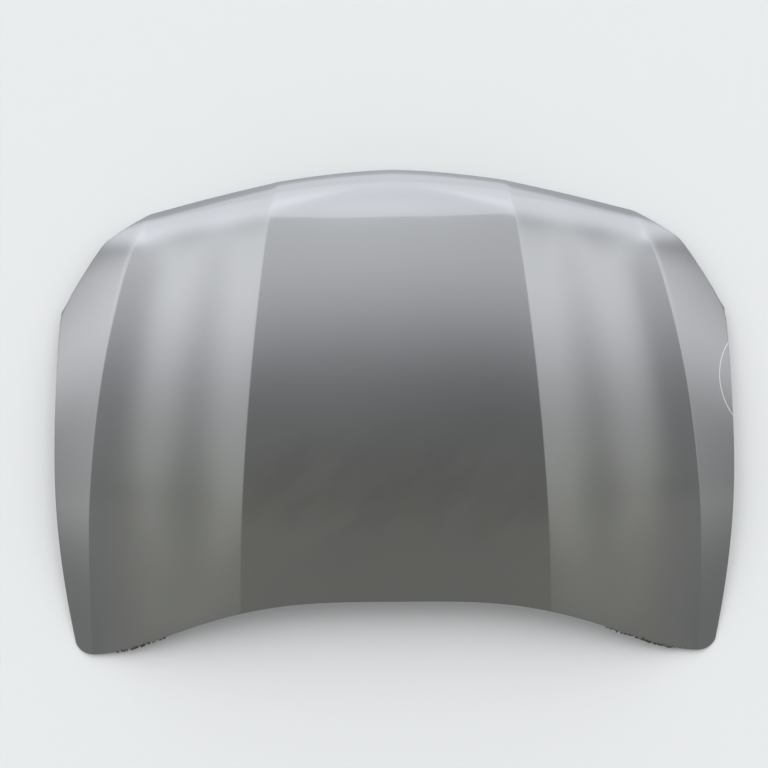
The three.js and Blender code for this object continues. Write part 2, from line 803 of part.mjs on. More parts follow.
function addHingeSide(side, centre) {
  const level = hingeLevel() + GAP;
  const origin = plan(0, 0);
  const outline = roundedLoop(rectangle(origin, HINGE_PAD_WIDTH, HINGE_PAD_LENGTH), PLATE_MARGIN, PLATE_MARGIN, 1);
  const holes = hingeHoles(origin).map((p) => circlePath(p, HINGE_HOLE / 2));
  const plate = add(`hinge_reinforcement_${side}`, slab(outline, holes, PLATE_THICKNESS), bareSteel());
  plate.position.set(centre.x, centre.y, level);
  ['rear', 'front'].forEach((end, k) => {
    const nutShape = slab(hexagon(NUT_WIDTH), [circlePath(origin, NUT_BORE / 2)], NUT_HEIGHT);
    const nut = add(`hinge_nut_${side}_${end}`, nutShape, zincSteel());
    const at = hingeHoles(centre)[k];
    nut.position.set(at.x, at.y, level + PLATE_THICKNESS + GAP);
  });
}

// Latch plate above the latch seat, and the striker under it

function addStriker() {
  const origin = plan(0, 0);
  const bolts = strikerHoles().map((p) => plan(p.x, 0));
  const wide = LATCH_PAD_WIDTH - 2 * PLATE_MARGIN;
  const long = LATCH_PAD_LENGTH - 2 * PLATE_MARGIN;
  const outline = roundedLoop(rectangle(origin, wide, long), 0, PLATE_MARGIN, 1);
  const holes = () => bolts.map((p) => circlePath(p, STRIKER_HOLE / 2));
  const backing = add('latch_reinforcement', slab(outline, holes(), PLATE_THICKNESS), bareSteel());
  backing.position.set(0, latchSeat.y, latchLevel() + GAP);

  const plateTop = latchLevel() - FRAME_THICKNESS - GAP;
  const plateFoot = plateTop - STRIKER_PLATE_THICKNESS;
  const plateOutline = roundedLoop(rectangle(origin, wide, long), STRIKER_PLATE_INSET, STRIKER_PLATE_CORNER, 1);
  const plate = add('striker_plate', slab(plateOutline, holes(), STRIKER_PLATE_THICKNESS), zincSteel());
  plate.position.set(0, latchSeat.y, plateFoot);

  const wireTop = plateFoot - GAP;
  const half = STRIKER_WIDTH / 2;
  const bend = STRIKER_BEND;
  const path = new THREE.CurvePath();
  const corner = (x, z) => new THREE.Vector3(x, latchSeat.y, z);
  const foot = wireTop - STRIKER_DROP + STRIKER_WIRE / 2;
  path.add(new THREE.LineCurve3(corner(-half, wireTop), corner(-half, foot + bend)));
  path.add(new THREE.QuadraticBezierCurve3(
    corner(-half, foot + bend), corner(-half, foot), corner(-half + bend, foot)));
  path.add(new THREE.LineCurve3(corner(-half + bend, foot), corner(half - bend, foot)));
  path.add(new THREE.QuadraticBezierCurve3(corner(half - bend, foot), corner(half, foot), corner(half, foot + bend)));
  path.add(new THREE.LineCurve3(corner(half, foot + bend), corner(half, wireTop)));
  const section = new THREE.Shape(circleLoop(origin, STRIKER_WIRE / 2, ROUND_STEPS));
  const wire = new THREE.ExtrudeGeometry(section, { steps: 20, extrudePath: path, bevelEnabled: false });
  add('striker_loop', wire, zincSteel());

  ['left', 'right'].forEach((side, k) => {
    const headFoot = plateFoot - GAP - BOLT_HEAD_HEIGHT;
    const shankTop = latchLevel() + GAP + PLATE_THICKNESS + BOLT_TIP;
    const radius = BOLT_HEAD_WIDTH / 2;
    const profile = [
      plan(0, 0), plan(radius - BOLT_CHAMFER, 0), plan(radius, BOLT_CHAMFER), plan(radius, BOLT_HEAD_HEIGHT),
      plan(BOLT_SHANK / 2, BOLT_HEAD_HEIGHT), plan(BOLT_SHANK / 2, shankTop - headFoot), plan(0, shankTop - headFoot),
    ];
    const bolt = add(`striker_bolt_${side}`, new THREE.LatheGeometry(profile, ROUND_STEPS), zincSteel());
    bolt.rotation.x = Math.PI / 2;
    bolt.position.set(bolts[k].x, latchSeat.y, headFoot);
  });
}

// Rubber buffers, each pushed through a hole in its seat

function addBuffers() {
  const stem = BUFFER_HOLE / 2 - GAP;
  const neckTop = BUFFER_HEIGHT + FRAME_THICKNESS + 2 * GAP;
  const tipTop = neckTop + BUFFER_BARB_HEIGHT;
  const profile = [
    plan(0, 0), plan(BUFFER_FOOT_RADIUS, 0), plan(BUFFER_FOOT_RADIUS + BUFFER_FOOT_ROUND, BUFFER_FOOT_ROUND),
    plan(BUFFER_RADIUS, BUFFER_HEIGHT - BUFFER_BRIM), plan(BUFFER_RADIUS, BUFFER_HEIGHT), plan(stem, BUFFER_HEIGHT),
    plan(stem, neckTop), plan(stem + BUFFER_BARB, neckTop), plan(BUFFER_TIP_RADIUS, tipTop), plan(0, tipTop),
  ];
  bufferSeats().forEach(({ name, at }) => {
    const buffer = add(`buffer_${name}`, new THREE.LatheGeometry(profile, ROUND_STEPS), blackRubber());
    buffer.rotation.x = Math.PI / 2;
    buffer.position.set(at.x, at.y, bufferLevel(at) - FRAME_THICKNESS - GAP - BUFFER_HEIGHT);
  });
}

// Mastic pads on the lands of every pocket, one at the front and one at the rear

function masticShape() {
  const [half, radius] = [(MASTIC_LENGTH - MASTIC_WIDTH) / 2, MASTIC_WIDTH / 2];
  const shape = new THREE.Shape();
  shape.absarc(half, 0, radius, -Math.PI / 2, Math.PI / 2, false);
  shape.absarc(-half, 0, radius, Math.PI / 2, (3 * Math.PI) / 2, false);
  return shape;
}

// Where a line straight up from the lands meets the skin's inner face, or one straight down the frame
function meet(mesh, p, upwards) {
  const from = new THREE.Vector3(p.x, p.y, landHeight(p) + (upwards ? LOOK_FROM.below : LOOK_FROM.above));
  const ray = new THREE.Raycaster(from, new THREE.Vector3(0, 0, upwards ? 1 : -1));
  return ray.intersectObject(mesh)[0].point;
}

function landMiddles(corners) {
  const lane = inset(corners, WALL_RUN + LAND_WIDTH / 2);
  const sides = lane.map((p, k) => ({ p, q: lane[(k + 1) % lane.length] }));
  const longest = (list) => list.sort((a, b) => b.p.distanceTo(b.q) - a.p.distanceTo(a.q))[0];
  const across = sides.filter(({ p, q }) => Math.abs(q.x - p.x) > Math.abs(q.y - p.y));
  return {
    rear: longest(across.filter(({ p, q }) => q.x > p.x)),
    front: longest(across.filter(({ p, q }) => q.x < p.x)),
  };
}

function addMasticPad(name, { p, q }, skin, frame) {
  const at = p.clone().lerp(q, 0.5);
  const along = q.clone().sub(p).setLength(MASTIC_LENGTH / 2);
  const aside = plan(-along.y, along.x).setLength(MASTIC_WIDTH / 2);
  const spots = [at, at.clone().add(along), at.clone().sub(along), at.clone().add(aside), at.clone().sub(aside)];
  const above = spots.map((spot) => meet(skin, spot, true));
  const below = spots.map((spot) => meet(frame, spot, false));
  const run = above[1].clone().sub(above[2]).normalize();
  const normal = run.clone().cross(above[3].clone().sub(above[4])).normalize();
  const reach = (point) => point.clone().sub(above[0]).dot(normal);
  const top = Math.min(...above.map(reach)) - GAP;
  const foot = Math.max(...below.map(reach)) + GAP;
  const options = { depth: top - foot, bevelEnabled: false, curveSegments: 4 };
  const pad = add(`mastic_${name}`, new THREE.ExtrudeGeometry(masticShape(), options), greyMastic());
  const basis = new THREE.Matrix4().makeBasis(run, normal.clone().cross(run), normal);
  pad.quaternion.setFromRotationMatrix(basis);
  pad.position.copy(above[0].clone().addScaledVector(normal, foot));
}

function addMasticPads(skin, frame) {
  pockets().forEach(({ name, corners }) => {
    Object.entries(landMiddles(corners)).forEach(([end, side]) => {
      addMasticPad(`${name}_${end}`, side, skin, frame);
    });
  });
}

const outerSkin = add('outer_skin', buildOuterSkin(), paint());
const innerFrame = add('inner_frame', buildInnerFrame(), paint());
addHingeSide('left', mirrored(hingeSeat()));
addHingeSide('right', hingeSeat());
addStriker();
addBuffers();
addMasticPads(outerSkin, innerFrame);

export default group;
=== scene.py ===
# %% [markdown]
# # A car bonnet in dark grey metallic paint
#
# The bonnet is a thin double panel: a painted outer skin with a folded hem all round, and a stamped frame
# under it. It lies on its rim, and the camera looks down on it. Every length is in metres, x runs across
# the car, y towards the nose and z up.

# %% Frame
import math

import bpy
import numpy as np
from mathutils import Matrix, Vector


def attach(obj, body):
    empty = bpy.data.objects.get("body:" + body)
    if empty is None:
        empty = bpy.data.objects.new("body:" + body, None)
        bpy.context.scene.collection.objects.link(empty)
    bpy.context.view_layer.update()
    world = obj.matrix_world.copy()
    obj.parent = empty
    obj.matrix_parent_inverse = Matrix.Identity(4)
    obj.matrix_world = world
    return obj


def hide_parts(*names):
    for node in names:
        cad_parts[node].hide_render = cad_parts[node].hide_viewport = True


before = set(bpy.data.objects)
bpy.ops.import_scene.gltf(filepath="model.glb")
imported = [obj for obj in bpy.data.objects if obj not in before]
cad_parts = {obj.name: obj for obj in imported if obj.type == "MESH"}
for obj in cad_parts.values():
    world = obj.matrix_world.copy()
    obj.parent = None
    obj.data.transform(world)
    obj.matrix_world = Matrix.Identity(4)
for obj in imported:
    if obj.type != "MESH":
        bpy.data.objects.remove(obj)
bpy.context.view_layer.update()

# %% [markdown]
# ## Camera
#
# The photograph looks almost square at the panel, so the camera stands high over it and leans a little
# towards the nose. A short lens keeps the mild taper of the sides.

# %% Camera
CAMERA_LENS = 40.0
CAMERA_ELEVATION = math.radians(84.0)
CAMERA_ROLL = math.radians(0.45)
CAMERA_DISTANCE = 1.790
CAMERA_TARGET = Vector((-0.021, 0.0375, 0.113))

camera_data = bpy.data.cameras.new("camera")
camera_data.lens = CAMERA_LENS
camera_data.sensor_width = 36.0
camera = bpy.data.objects.new("camera", camera_data)
bpy.context.scene.collection.objects.link(camera)

forward = Vector((0, math.cos(CAMERA_ELEVATION), -math.sin(CAMERA_ELEVATION)))
upright = Vector((0, math.sin(CAMERA_ELEVATION), math.cos(CAMERA_ELEVATION)))
across = Vector((1, 0, 0))
right = math.cos(CAMERA_ROLL) * across - math.sin(CAMERA_ROLL) * upright
up = math.sin(CAMERA_ROLL) * across + math.cos(CAMERA_ROLL) * upright
turned = Matrix((right, up, -forward)).transposed().to_4x4()
camera.matrix_world = Matrix.Translation(CAMERA_TARGET - forward * CAMERA_DISTANCE) @ turned
bpy.context.scene.camera = camera
bpy.context.scene.view_settings.view_transform = "Standard"
print("camera at", [round(v, 3) for v in camera.matrix_world.translation])

# %% [markdown]
# ## Sums on node sockets
#
# The pressing follows a rule, and so do the finishes. A rule reads best as a formula, so a node socket is
# wrapped in a class whose plus, minus, times and so on add the matching Math node. The same formula then
# also works on plain numbers and on arrays.


# %% Socket sums
class Socket:
    """One output of a node, which can be used in a formula."""

    def __init__(self, net, link):
        self.net = net
        self.link = link

    def __add__(self, other):
        return self.net.math("ADD", self, other)

    def __sub__(self, other):
        return self.net.math("SUBTRACT", self, other)

    def __rsub__(self, other):
        return self.net.math("SUBTRACT", other, self)

    def __mul__(self, other):
        return self.net.math("MULTIPLY", self, other)

    def __truediv__(self, other):
        return self.net.math("DIVIDE", self, other)

    def __rtruediv__(self, other):
        return self.net.math("DIVIDE", other, self)

    def __pow__(self, other):
        return self.net.math("POWER", self, other)

    def __neg__(self):
        return self.net.math("MULTIPLY", self, -1.0)

    __radd__ = __add__
    __rmul__ = __mul__


class Node:
    """A node whose outputs are read by name, as sockets that can be used in a formula."""

    def __init__(self, net, made):
        self.net = net
        self.made = made

    def __getitem__(self, name):
        return Socket(self.net, find_socket(self.made.outputs, name))


def find_socket(sockets, name):
    for socket in sockets:
        if socket.identifier == name:
            return socket
    return sockets[name]


class Net:
    """A node tree, and the methods that add to it."""

    def __init__(self, tree):
        self.tree = tree
        self.count = 0

    def node(self, kind, settings=None, values=None):
        made = self.tree.nodes.new(kind)
        made.location = (220 * (self.count // 8), -190 * (self.count % 8))
        self.count += 1
        for key, value in (settings or {}).items():
            setattr(made, key, value)
        for key, value in (values or {}).items():
            socket = find_socket(made.inputs, key) if isinstance(key, str) else made.inputs[key]
            if isinstance(value, Socket):
                self.tree.links.new(value.link, socket)
            else:
                socket.default_value = value
        return Node(self, made)

    def math(self, operation, *terms):
        return self.node("ShaderNodeMath", {"operation": operation}, dict(enumerate(terms)))["Value"]

    def vector(self, operation, *terms):
        return self.node("ShaderNodeVectorMath", {"operation": operation}, dict(enumerate(terms)))["Vector"]

    def scaled(self, vector, factor):
        return self.node("ShaderNodeVectorMath", {"operation": "SCALE"}, {0: vector, "Scale": factor})["Vector"]

    def combine(self, x, y, z):
        return self.node("ShaderNodeCombineXYZ", None, {"X": x, "Y": y, "Z": z})["Vector"]

    def separate(self, vector):
        parts = self.node("ShaderNodeSeparateXYZ", None, {"Vector": vector})
        return parts["X"], parts["Y"], parts["Z"]

    def mix_color(self, factor, a, b):
        values = {"Factor_Float": factor, "A_Color": a, "B_Color": b}
        return self.node("ShaderNodeMix", {"data_type": "RGBA"}, values)["Result_Color"]

    def ramp(self, value, low, high, stops):
        """A curve through the stops, given as pairs of value and level."""
        share = self.node("ShaderNodeMapRange", None, {"Value": value, "From Min": low, "From Max": high})
        made = self.node("ShaderNodeValToRGB", None, {"Fac": share["Result"]})
        elements = made.made.color_ramp.elements
        top = max(level for _, level in stops)
        for k, (at, level) in enumerate(stops):
            place = (at - low) / (high - low)
            element = elements[k] if k < 2 else elements.new(place)
            element.position = place
            element.color = (level / top, level / top, level / top, 1)
        return made["Color"] * top


def of_net(*terms):
    return next((term.net for term in terms if isinstance(term, Socket)), None)


def largest(a, b):
    net = of_net(a, b)
    return net.math("MAXIMUM", a, b) if net else np.maximum(a, b)


def smallest(a, b):
    net = of_net(a, b)
    return net.math("MINIMUM", a, b) if net else np.minimum(a, b)


def size_of(a):
    net = of_net(a)
    return net.math("ABSOLUTE", a) if net else np.abs(a)


def sine(a):
    net = of_net(a)
    return net.math("SINE", a) if net else np.sin(a)


def mix(a, b, share):
    return a + (b - a) * share


def ease(share):
    t = smallest(largest(share, 0.0), 1.0)
    return t * t * (3.0 - 2.0 * t)


# %% [markdown]
# ## The rule of the pressing
#
# A press tool is cut to a surface that a designer draws from a few curves. Here they are the outline and two
# pairs of crease lines. Between them the height falls away: a shallow dome in the middle, a stepped shoulder
# outside the inner crease, a flank outside the outer one, and a roll at the nose. The sizes have names, so
# that they can be changed one at a time. Close to the nose and the rear edge the shoulder's waves and the
# flank's bend give way to plainer end sizes, so that the edge of the stamped frame stays inside the hem.

# %% Sizes of the pressing
SIZES = {
    "Half length": 0.532,
    "Half width": 0.737,
    "Nose corner x": 0.550,
    "Nose sweep": 0.090,
    "Nose roll": 0.055,
    "Corner roll": 0.0415,
    "Roll length": 0.170,
    "Rear arch": 0.119,
    "Rear turn x": 0.652,
    "Inner crease rear": 0.321,
    "Inner crease nose": 0.252,
    "Outer crease rear": 0.652,
    "Crown radius": 3.0,
    "Crown y": 0.017,
    "Dome drop": 0.009,
    "Shoulder drop": 0.0446,
    "Rear shoulder drop": 0.0173,
    "Crease slope": 0.211,
    "Crease fade": 0.54,
    "Edge slope": 0.016,
    "Rear edge slope": 0.045,
    "Shoulder wave": 0.0116,
    "Scoop slope nose": 0.028,
    "Scoop slope rear": 0.017,
    "Flank slope": 0.238,
    "Flank bend": 0.525,
    "Lift": 0.1302,
}
# What some of them become at the nose and rear edges
END_SIZES = {
    "Shoulder drop": 0.046,
    "Rear shoulder drop": 0.017,
    "Crease slope": 0.27,
    "Crease fade": 0.45,
    "Edge slope": 0.045,
    "Rear edge slope": 0.0,
    "Shoulder wave": 0.035,
    "Scoop slope nose": 0.0,
    "Scoop slope rear": 0.0,
    "Flank slope": 0.22,
    "Flank bend": 0.6,
}
SIZES.update({"End " + name.lower(): value for name, value in END_SIZES.items()})
END_REACH = 0.12
LAMP_TOP = (0.643, 0.371)
LAMP_FOOT_Y = 0.211
REAR_TAPER = 0.051
REAR_CORNER_RADIUS = 0.034
SCOOP_START = 0.103


def nose_edge_y(x, s):
    t = smallest(x, s["Nose corner x"]) / s["Nose corner x"]
    return s["Half length"] - s["Nose sweep"] * t ** 1.6


def rear_edge_y(x, s):
    t = smallest(x / s["Rear turn x"], 1.0)
    return s["Rear arch"] - s["Half length"] - s["Rear arch"] * ease(t ** 1.75)


def side_edge_x(y):
    t = np.maximum((LAMP_FOOT_Y - y) / (LAMP_FOOT_Y + SIZES["Half length"]), 0.0)
    return SIZES["Half width"] - REAR_TAPER * t ** 3.1


def inner_crease_x(y, s):
    rear = s["Rear arch"] - s["Half length"]
    t = largest((y - rear) / (s["Half length"] - rear), 0.0)
    return mix(s["Inner crease rear"], s["Inner crease nose"], t ** 1.65)


def outer_crease_x(y, s):
    rear = s["Rear arch"] - s["Half length"]
    t = largest((y - rear) / (s["Half length"] - s["Nose sweep"] - rear), 0.0)
    return mix(s["Outer crease rear"], s["Nose corner x"], t ** 2.3)


def nose_fall(x, y, s):
    t = largest(1.0 - (nose_edge_y(x, s) - y) / s["Roll length"], 0.0)
    return mix(s["Nose roll"], s["Corner roll"], ease(x / s["Nose corner x"])) * t ** 3.0


def middle_share(x, y, s):
    """1 over most of the panel, 0 at its nose and rear edges."""
    return ease((y - rear_edge_y(x, s)) / END_REACH) * ease((nose_edge_y(x, s) - y) / END_REACH)


def scoop(t, to_rear, s):
    """Long shallow waves across the shoulder, for each unit of its width."""
    slope = mix(s["Scoop slope nose"], s["Scoop slope rear"], to_rear)
    turn = 2.0 * math.pi
    once = s["Shoulder wave"] / turn * (sine(turn * (t + 0.25)) - 1.0)
    at_start = math.sin(2.0 * turn * SCOOP_START)
    twice = slope / (2.0 * turn) * (sine(2.0 * turn * (t - SCOOP_START)) + at_start)
    return once + twice


def side_fall(x, y, s):
    share = middle_share(x, y, s)
    s = {**s, **{name: mix(s["End " + name.lower()], s[name], share) for name in END_SIZES}}
    inner = inner_crease_x(y, s)
    width = outer_crease_x(y, s) - inner
    t = smallest(largest((x - inner) / width, 0.0), 1.0)
    dome = s["Dome drop"] * (smallest(x, inner) / inner) ** 2.0
    fade = mix(s["Crease fade"], 1.0, ease((y + s["Half length"] - 0.032) / 0.350))
    first_slope = mix(2.0 * s["Dome drop"] / inner, s["Crease slope"], fade)
    deeper = ease((y + 0.150) / (0.150 - s["Half length"]))
    to_rear = ease((0.250 - y) / 0.600)
    step = (s["Shoulder drop"] + s["Rear shoulder drop"] * deeper) * t * t * (3.0 - 2.0 * t)
    edge_slope = s["Edge slope"] + s["Rear edge slope"] * to_rear
    ends = first_slope * t * (1.0 - t) ** 2.0 - edge_slope * t * t * (1.0 - t)
    shoulder = step + width * (ends + scoop(t, to_rear, s))
    beyond = largest(x - inner - width, 0.0)
    flank = (s["Flank slope"] + s["Flank bend"] * beyond) * beyond
    return dome + shoulder + flank


def skin_height(x, y, s):
    out = size_of(x)
    crown = (y - s["Crown y"]) ** 2.0 / (2.0 * s["Crown radius"])
    return s["Lift"] - crown - nose_fall(out, y, s) - side_fall(out, y, s)


print("height at the middle", round(float(skin_height(0.0, 0.0, SIZES)), 4))

# %% [markdown]
# ## The pressing as a node tree
#
# The rule goes into a node group of its own. The press tree reads it three times, at each point and a hair
# to its right and front, which gives the slope there. A sheet has an attribute named depth: how far each
# point lies under the painted face, square to it. So one flat plan and one rule make a sheet, its inner
# face and its folded hem.


# %% Press tree
def new_group(name, inputs, outputs):
    tree = bpy.data.node_groups.new(name, "GeometryNodeTree")
    for socket_name, kind, value in inputs:
        socket = tree.interface.new_socket(socket_name, in_out="INPUT", socket_type=kind)
        if value is not None:
            socket.default_value = value
    for socket_name, kind in outputs:
        tree.interface.new_socket(socket_name, in_out="OUTPUT", socket_type=kind)
    return Net(tree)


size_inputs = [(name, "NodeSocketFloat", value) for name, value in SIZES.items()]

rule = new_group("press_rule", [("X", "NodeSocketFloat", 0.0), ("Y", "NodeSocketFloat", 0.0), *size_inputs],
                 [("Height", "NodeSocketFloat")])
given = rule.node("NodeGroupInput")
sizes = {name: given[name] for name in SIZES}
rule.node("NodeGroupOutput", None, {"Height": skin_height(given["X"], given["Y"], sizes)})

SLOPE_STEP = 0.0005
press = new_group(
    "press_sheet",
    [("Geometry", "NodeSocketGeometry", None), ("Material", "NodeSocketMaterial", None), *size_inputs],
    [("Geometry", "NodeSocketGeometry")])
given = press.node("NodeGroupInput")
x, y, flat = press.separate(press.node("GeometryNodeInputPosition")["Position"])


def height_at(at_x, at_y):
    values = {"X": at_x, "Y": at_y, **{name: given[name] for name in SIZES}}
    return press.node("GeometryNodeGroup", {"node_tree": rule.tree}, values)["Height"]


height = height_at(x, y)
slope_x = (height_at(x + SLOPE_STEP, y) - height) / SLOPE_STEP
slope_y = (height_at(x, y + SLOPE_STEP) - height) / SLOPE_STEP
square = press.vector("NORMALIZE", press.combine(-slope_x, -slope_y, 1.0))
depth = press.node("GeometryNodeInputNamedAttribute", {"data_type": "FLOAT"}, {"Name": "depth"})["Attribute"]
below = press.scaled(square, depth)
place = press.vector("SUBTRACT", press.combine(x, y, height + flat), below)
pressed = press.node("GeometryNodeSetPosition", None, {"Geometry": given["Geometry"], "Position": place})
whole = press.node("GeometryNodeRealizeInstances", None, {"Geometry": pressed["Geometry"]})
dressed = press.node("GeometryNodeSetMaterial", None,
                     {"Geometry": whole["Geometry"], "Material": given["Material"]})
press.node("NodeGroupOutput", None, {"Geometry": dressed["Geometry"]})
print("press rule:", len(rule.tree.nodes), "nodes, press tree:", len(press.tree.nodes), "nodes")


def apply_tree(name, mesh, net, values):
    """Runs a node tree on a mesh and gives the finished piece."""
    piece = bpy.data.objects.new(name, mesh)
    bpy.context.scene.collection.objects.link(piece)
    modifier = piece.modifiers.new(name, "NODES")
    modifier.node_group = net.tree
    for item in net.tree.interface.items_tree:
        if item.in_out == "INPUT" and item.name in values:
            modifier[item.identifier] = values[item.name]
    piece.update_tag()
    evaluated = piece.evaluated_get(bpy.context.evaluated_depsgraph_get())
    result = bpy.data.meshes.new_from_object(evaluated)
    piece.modifiers.clear()
    piece.data = result
    result.name = name
    return piece

# %% [markdown]
# ## Plan of the outer skin
#
# The skin starts as a flat plan. Its columns run along the crease lines and its rows across, as a draughtsman
# would lay curves on such a panel, and close pairs of columns beside each crease keep its edge crisp.

# %% Plan of the skin: rows and columns
BAND = 0.014
SKIN = 0.0008
SLOT = 0.0021
HEM = 0.0029


def crowded(count, power):
    return 1.0 - (1.0 - np.linspace(0.0, 1.0, count + 1)) ** power


def with_edges(shares, width, ends):
    """Adds shares a little way off the ends of a panel, so that its creases stay crisp."""
    extra = [edge / width for edge in (0.0015, 0.004)]
    kept = [t for t in shares if 0.008 / width < t < 1 - 0.008 / width or t in (0.0, 1.0)]
    starts = extra if "start" in ends else []
    stops = [1 - t for t in extra] if "stop" in ends else []
    return np.array(sorted({*kept, *starts, *stops}))


DOME = with_edges(np.linspace(0, 1, 25), 0.29, ("stop",))
SHOULDER = with_edges(np.linspace(0, 1, 31), 0.33, ("start", "stop"))
FLANK = with_edges(np.linspace(0, 1, 17), 0.085, ("start",))
NEAR_LAMP_TOP = (0.46, 0.48, 0.52, 0.54)
FLANK = np.array(sorted({*FLANK, *NEAR_LAMP_TOP}))
ROW_SHARES = np.concatenate([np.linspace(0, 0.78, 65), 0.78 + 0.22 * crowded(34, 1.25)[1:]])
print("shares:", len(DOME), "across the dome,", len(SHOULDER), "a shoulder,", len(FLANK), "a flank")

# %% [markdown]
# The outline starts at the arched rear edge, turns round the rear corner, runs up the bowed side, and meets
# the curved nose over the two straight lamp cuts.


# %% Plan of the skin: outline
def corner_arc(shares):
    centre_y = REAR_CORNER_RADIUS - SIZES["Half length"]
    reach = side_edge_x(centre_y) - SIZES["Rear turn x"]
    angle = (shares ** 1.5 - 1) * math.pi / 2
    arc_x = SIZES["Rear turn x"] + reach * np.cos(angle)
    arc_y = centre_y + REAR_CORNER_RADIUS * np.sin(angle)
    return np.stack([arc_x, arc_y], 1)


def nose_corner():
    return np.array([SIZES["Nose corner x"], SIZES["Half length"] - SIZES["Nose sweep"]])


def lamp_cut(shares):
    corner, top = nose_corner(), np.array(LAMP_TOP)
    foot = np.array([side_edge_x(LAMP_FOOT_Y), LAMP_FOOT_Y])
    t = (2 * shares)[:, None]
    return np.where(t <= 1, corner + (top - corner) * t, top + (foot - top) * (t - 1))


rear_inner = inner_crease_x(SIZES["Rear arch"] - SIZES["Half length"], SIZES)
nose_inner = inner_crease_x(nose_edge_y(SIZES["Inner crease nose"], SIZES), SIZES)


def end_half(inner, outer, edge_y, beyond):
    """Right half of the rear or front edge, from the centre line to the foot of the side."""
    xs = np.concatenate([inner * DOME, (inner + (outer - inner) * SHOULDER)[1:]])
    return np.concatenate([np.stack([xs, edge_y(xs, SIZES)], 1), beyond(FLANK)[1:]])


def mirrored(points):
    return points * np.array([-1.0, 1.0])


def full_width(half):
    return np.concatenate([mirrored(half[:0:-1]), half])


rear_edge = full_width(end_half(rear_inner, SIZES["Rear turn x"], rear_edge_y, corner_arc))
front_edge = full_width(end_half(nose_inner, SIZES["Nose corner x"], nose_edge_y, lamp_cut))
side_y = mix(rear_edge[-1, 1], LAMP_FOOT_Y, ROW_SHARES)
side_edge = np.stack([side_edge_x(side_y), side_y], 1)
rim = np.concatenate([rear_edge[:-1], side_edge[:-1], front_edge[:0:-1], mirrored(side_edge)[:0:-1]])


def rounded(loop, corner, reach):
    """Draws a short curve through the points of a loop that lie within reach of a sharp corner."""
    at = int(np.argmin(np.linalg.norm(loop - corner, axis=1)))
    loop = np.roll(loop, -at, 0)
    steps = np.linalg.norm(np.diff(loop, axis=0, append=loop[:1]), axis=1)
    after = np.concatenate([[0.0], np.cumsum(steps)])[:-1]
    signed = np.where(after > after[-1] / 2, after - steps.sum(), after)
    near = np.abs(signed) < reach
    start = loop[0] + (loop[-1] - loop[0]) / steps[-1] * reach
    stop = loop[0] + (loop[1] - loop[0]) / steps[0] * reach
    t = ((signed[near] / reach + 1) / 2)[:, None]
    loop[near] = start * (1 - t) ** 2 + 2 * loop[0] * t * (1 - t) + stop * t ** 2
    return np.roll(loop, at, 0)


lamp_foot = np.array([side_edge_x(LAMP_FOOT_Y), LAMP_FOOT_Y])
CORNER_REACHES = [(nose_corner(), 0.010), (np.array(LAMP_TOP), 0.010), (lamp_foot, 0.034)]
for corner, reach in CORNER_REACHES:
    rim = rounded(rounded(rim, corner, reach), mirrored(corner), reach)
print("outline:", len(rim), "points,", np.ptp(rim, axis=0).round(4), "m across")

# %% [markdown]
# Inside a narrow band along the edge lies a grid. Its columns follow the crease lines, so that each crease is
# a row of mesh edges and stays crisp, and its ends are pulled to meet the band.


# %% Plan of the skin: grid
def unit(v):
    return v / np.maximum(np.linalg.norm(v, axis=1, keepdims=True), 1e-12)


def inset(loop, distance):
    """The loop moved inwards by a distance, square to both of its sides at each point."""
    a, b = unit(loop - np.roll(loop, 1, 0)), unit(np.roll(loop, -1, 0) - loop)
    across_both = np.stack([-a[:, 1] - b[:, 1], a[:, 0] + b[:, 0]], 1)
    return loop + across_both * (distance / (1 + (a * b).sum(1)))[:, None]


columns, rows = len(rear_edge) - 1, len(ROW_SHARES) - 1
band = inset(rim, BAND)
band_rear, band_side = band[:columns + 1], band[columns:columns + rows + 1]
band_front = band[columns + rows:2 * columns + rows + 1][::-1]
half = columns // 2
dome_end, shoulder_end = len(DOME) - 1, len(DOME) + len(SHOULDER) - 2


def guide(cell):
    """The line that a column of the grid follows, for the centre, a crease or the side."""
    y_line = mix(band_rear[half + cell, 1], band_front[half + cell, 1], ROW_SHARES)
    if cell == half:
        return band_side
    lines = {0: 0 * y_line,
             dome_end: inner_crease_x(y_line, SIZES),
             shoulder_end: outer_crease_x(y_line, SIZES)}
    return np.stack([lines[cell], y_line], 1)


def panel(first, last, shares):
    """Columns of one panel, straight between its two guide lines and pulled to meet both ends."""
    low, high = guide(first), guide(last)
    rear_pull = np.stack([(1 - ROW_SHARES) ** 8, 1 - ROW_SHARES], 1)
    front_pull = np.stack([ROW_SHARES ** 4, ROW_SHARES], 1)
    lines = []
    for k, t in enumerate(shares):
        line = low + (high - low) * t
        to_rear = band_rear[half + first + k] - line[0]
        to_front = band_front[half + first + k] - line[-1]
        lines.append(line + to_rear * rear_pull + to_front * front_pull)
    return lines


right_half = (panel(0, dome_end, DOME) + panel(dome_end, shoulder_end, SHOULDER)[1:]
              + panel(shoulder_end, half, FLANK)[1:])
right_grid = np.stack(right_half, 1)
right_grid[:, half] = band_side
grid = np.concatenate([mirrored(right_grid[:, :0:-1]), right_grid], 1)
print("skin plan:", columns, "columns,", rows, "rows,", len(rim), "points round the rim")

# %% [markdown]
# ## Sheet, hem and fold
#
# At the edge the real skin is folded back on itself over the frame. The plan has a ring of points for each
# step round that fold: along the painted face, round the outside of the fold, along the flange and back
# round the inside.

